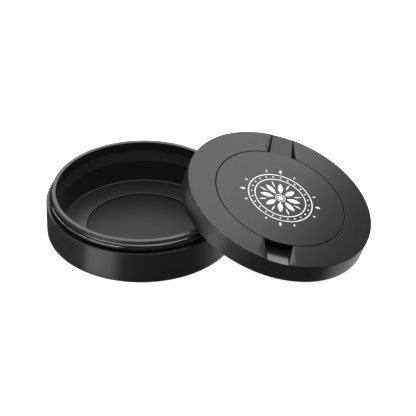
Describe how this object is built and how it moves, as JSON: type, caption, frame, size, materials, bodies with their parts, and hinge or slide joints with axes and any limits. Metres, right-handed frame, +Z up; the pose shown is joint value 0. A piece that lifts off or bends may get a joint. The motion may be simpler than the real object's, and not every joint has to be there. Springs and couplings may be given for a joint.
{
  "type": "round two-compartment pocket tin",
  "caption": "Round black pocket tin, open, its press-on lid leaning on the rim; a flush lift-off cover with finger notches closes a shallow catch tray in the lid.",
  "frame": {"origin": "centre of the cup's flat underside", "axes": "+Z up along the cup's axis; +X from the cup towards the side where the lid leans downhill; +Y completes the frame"},
  "size_m": [0.1143, 0.0767, 0.0298],
  "materials": {
    "black_anodised": "satin black anodised, finely turned",
    "black_moulded": "fine matt moulded",
    "smooth_floor": "smooth, soft gloss",
    "seal_rubber": "smooth black rubber"
  },
  "bodies": {
    "cup": {"base_shell": "black_anodised", "liner_cup": "black_moulded", "floor_disc": "smooth_floor", "neck_seal": "seal_rubber"},
    "lid": {"lid_ring": "black_anodised", "catch_tray": "black_moulded"},
    "cover": {"cover_disc": "black_anodised", "cover_seal": "seal_rubber"}
  },
  "joints": [
    {"name": "lid_lift", "type": "slide", "parent": "cup", "child": "lid", "axis": [0.3374, 0, 0.9414], "range_m": [0, 0.045]},
    {"name": "cover_lift", "type": "slide", "parent": "lid", "child": "cover", "axis": [0.3374, 0, 0.9414], "range_m": [0, 0.02]}
  ]
}
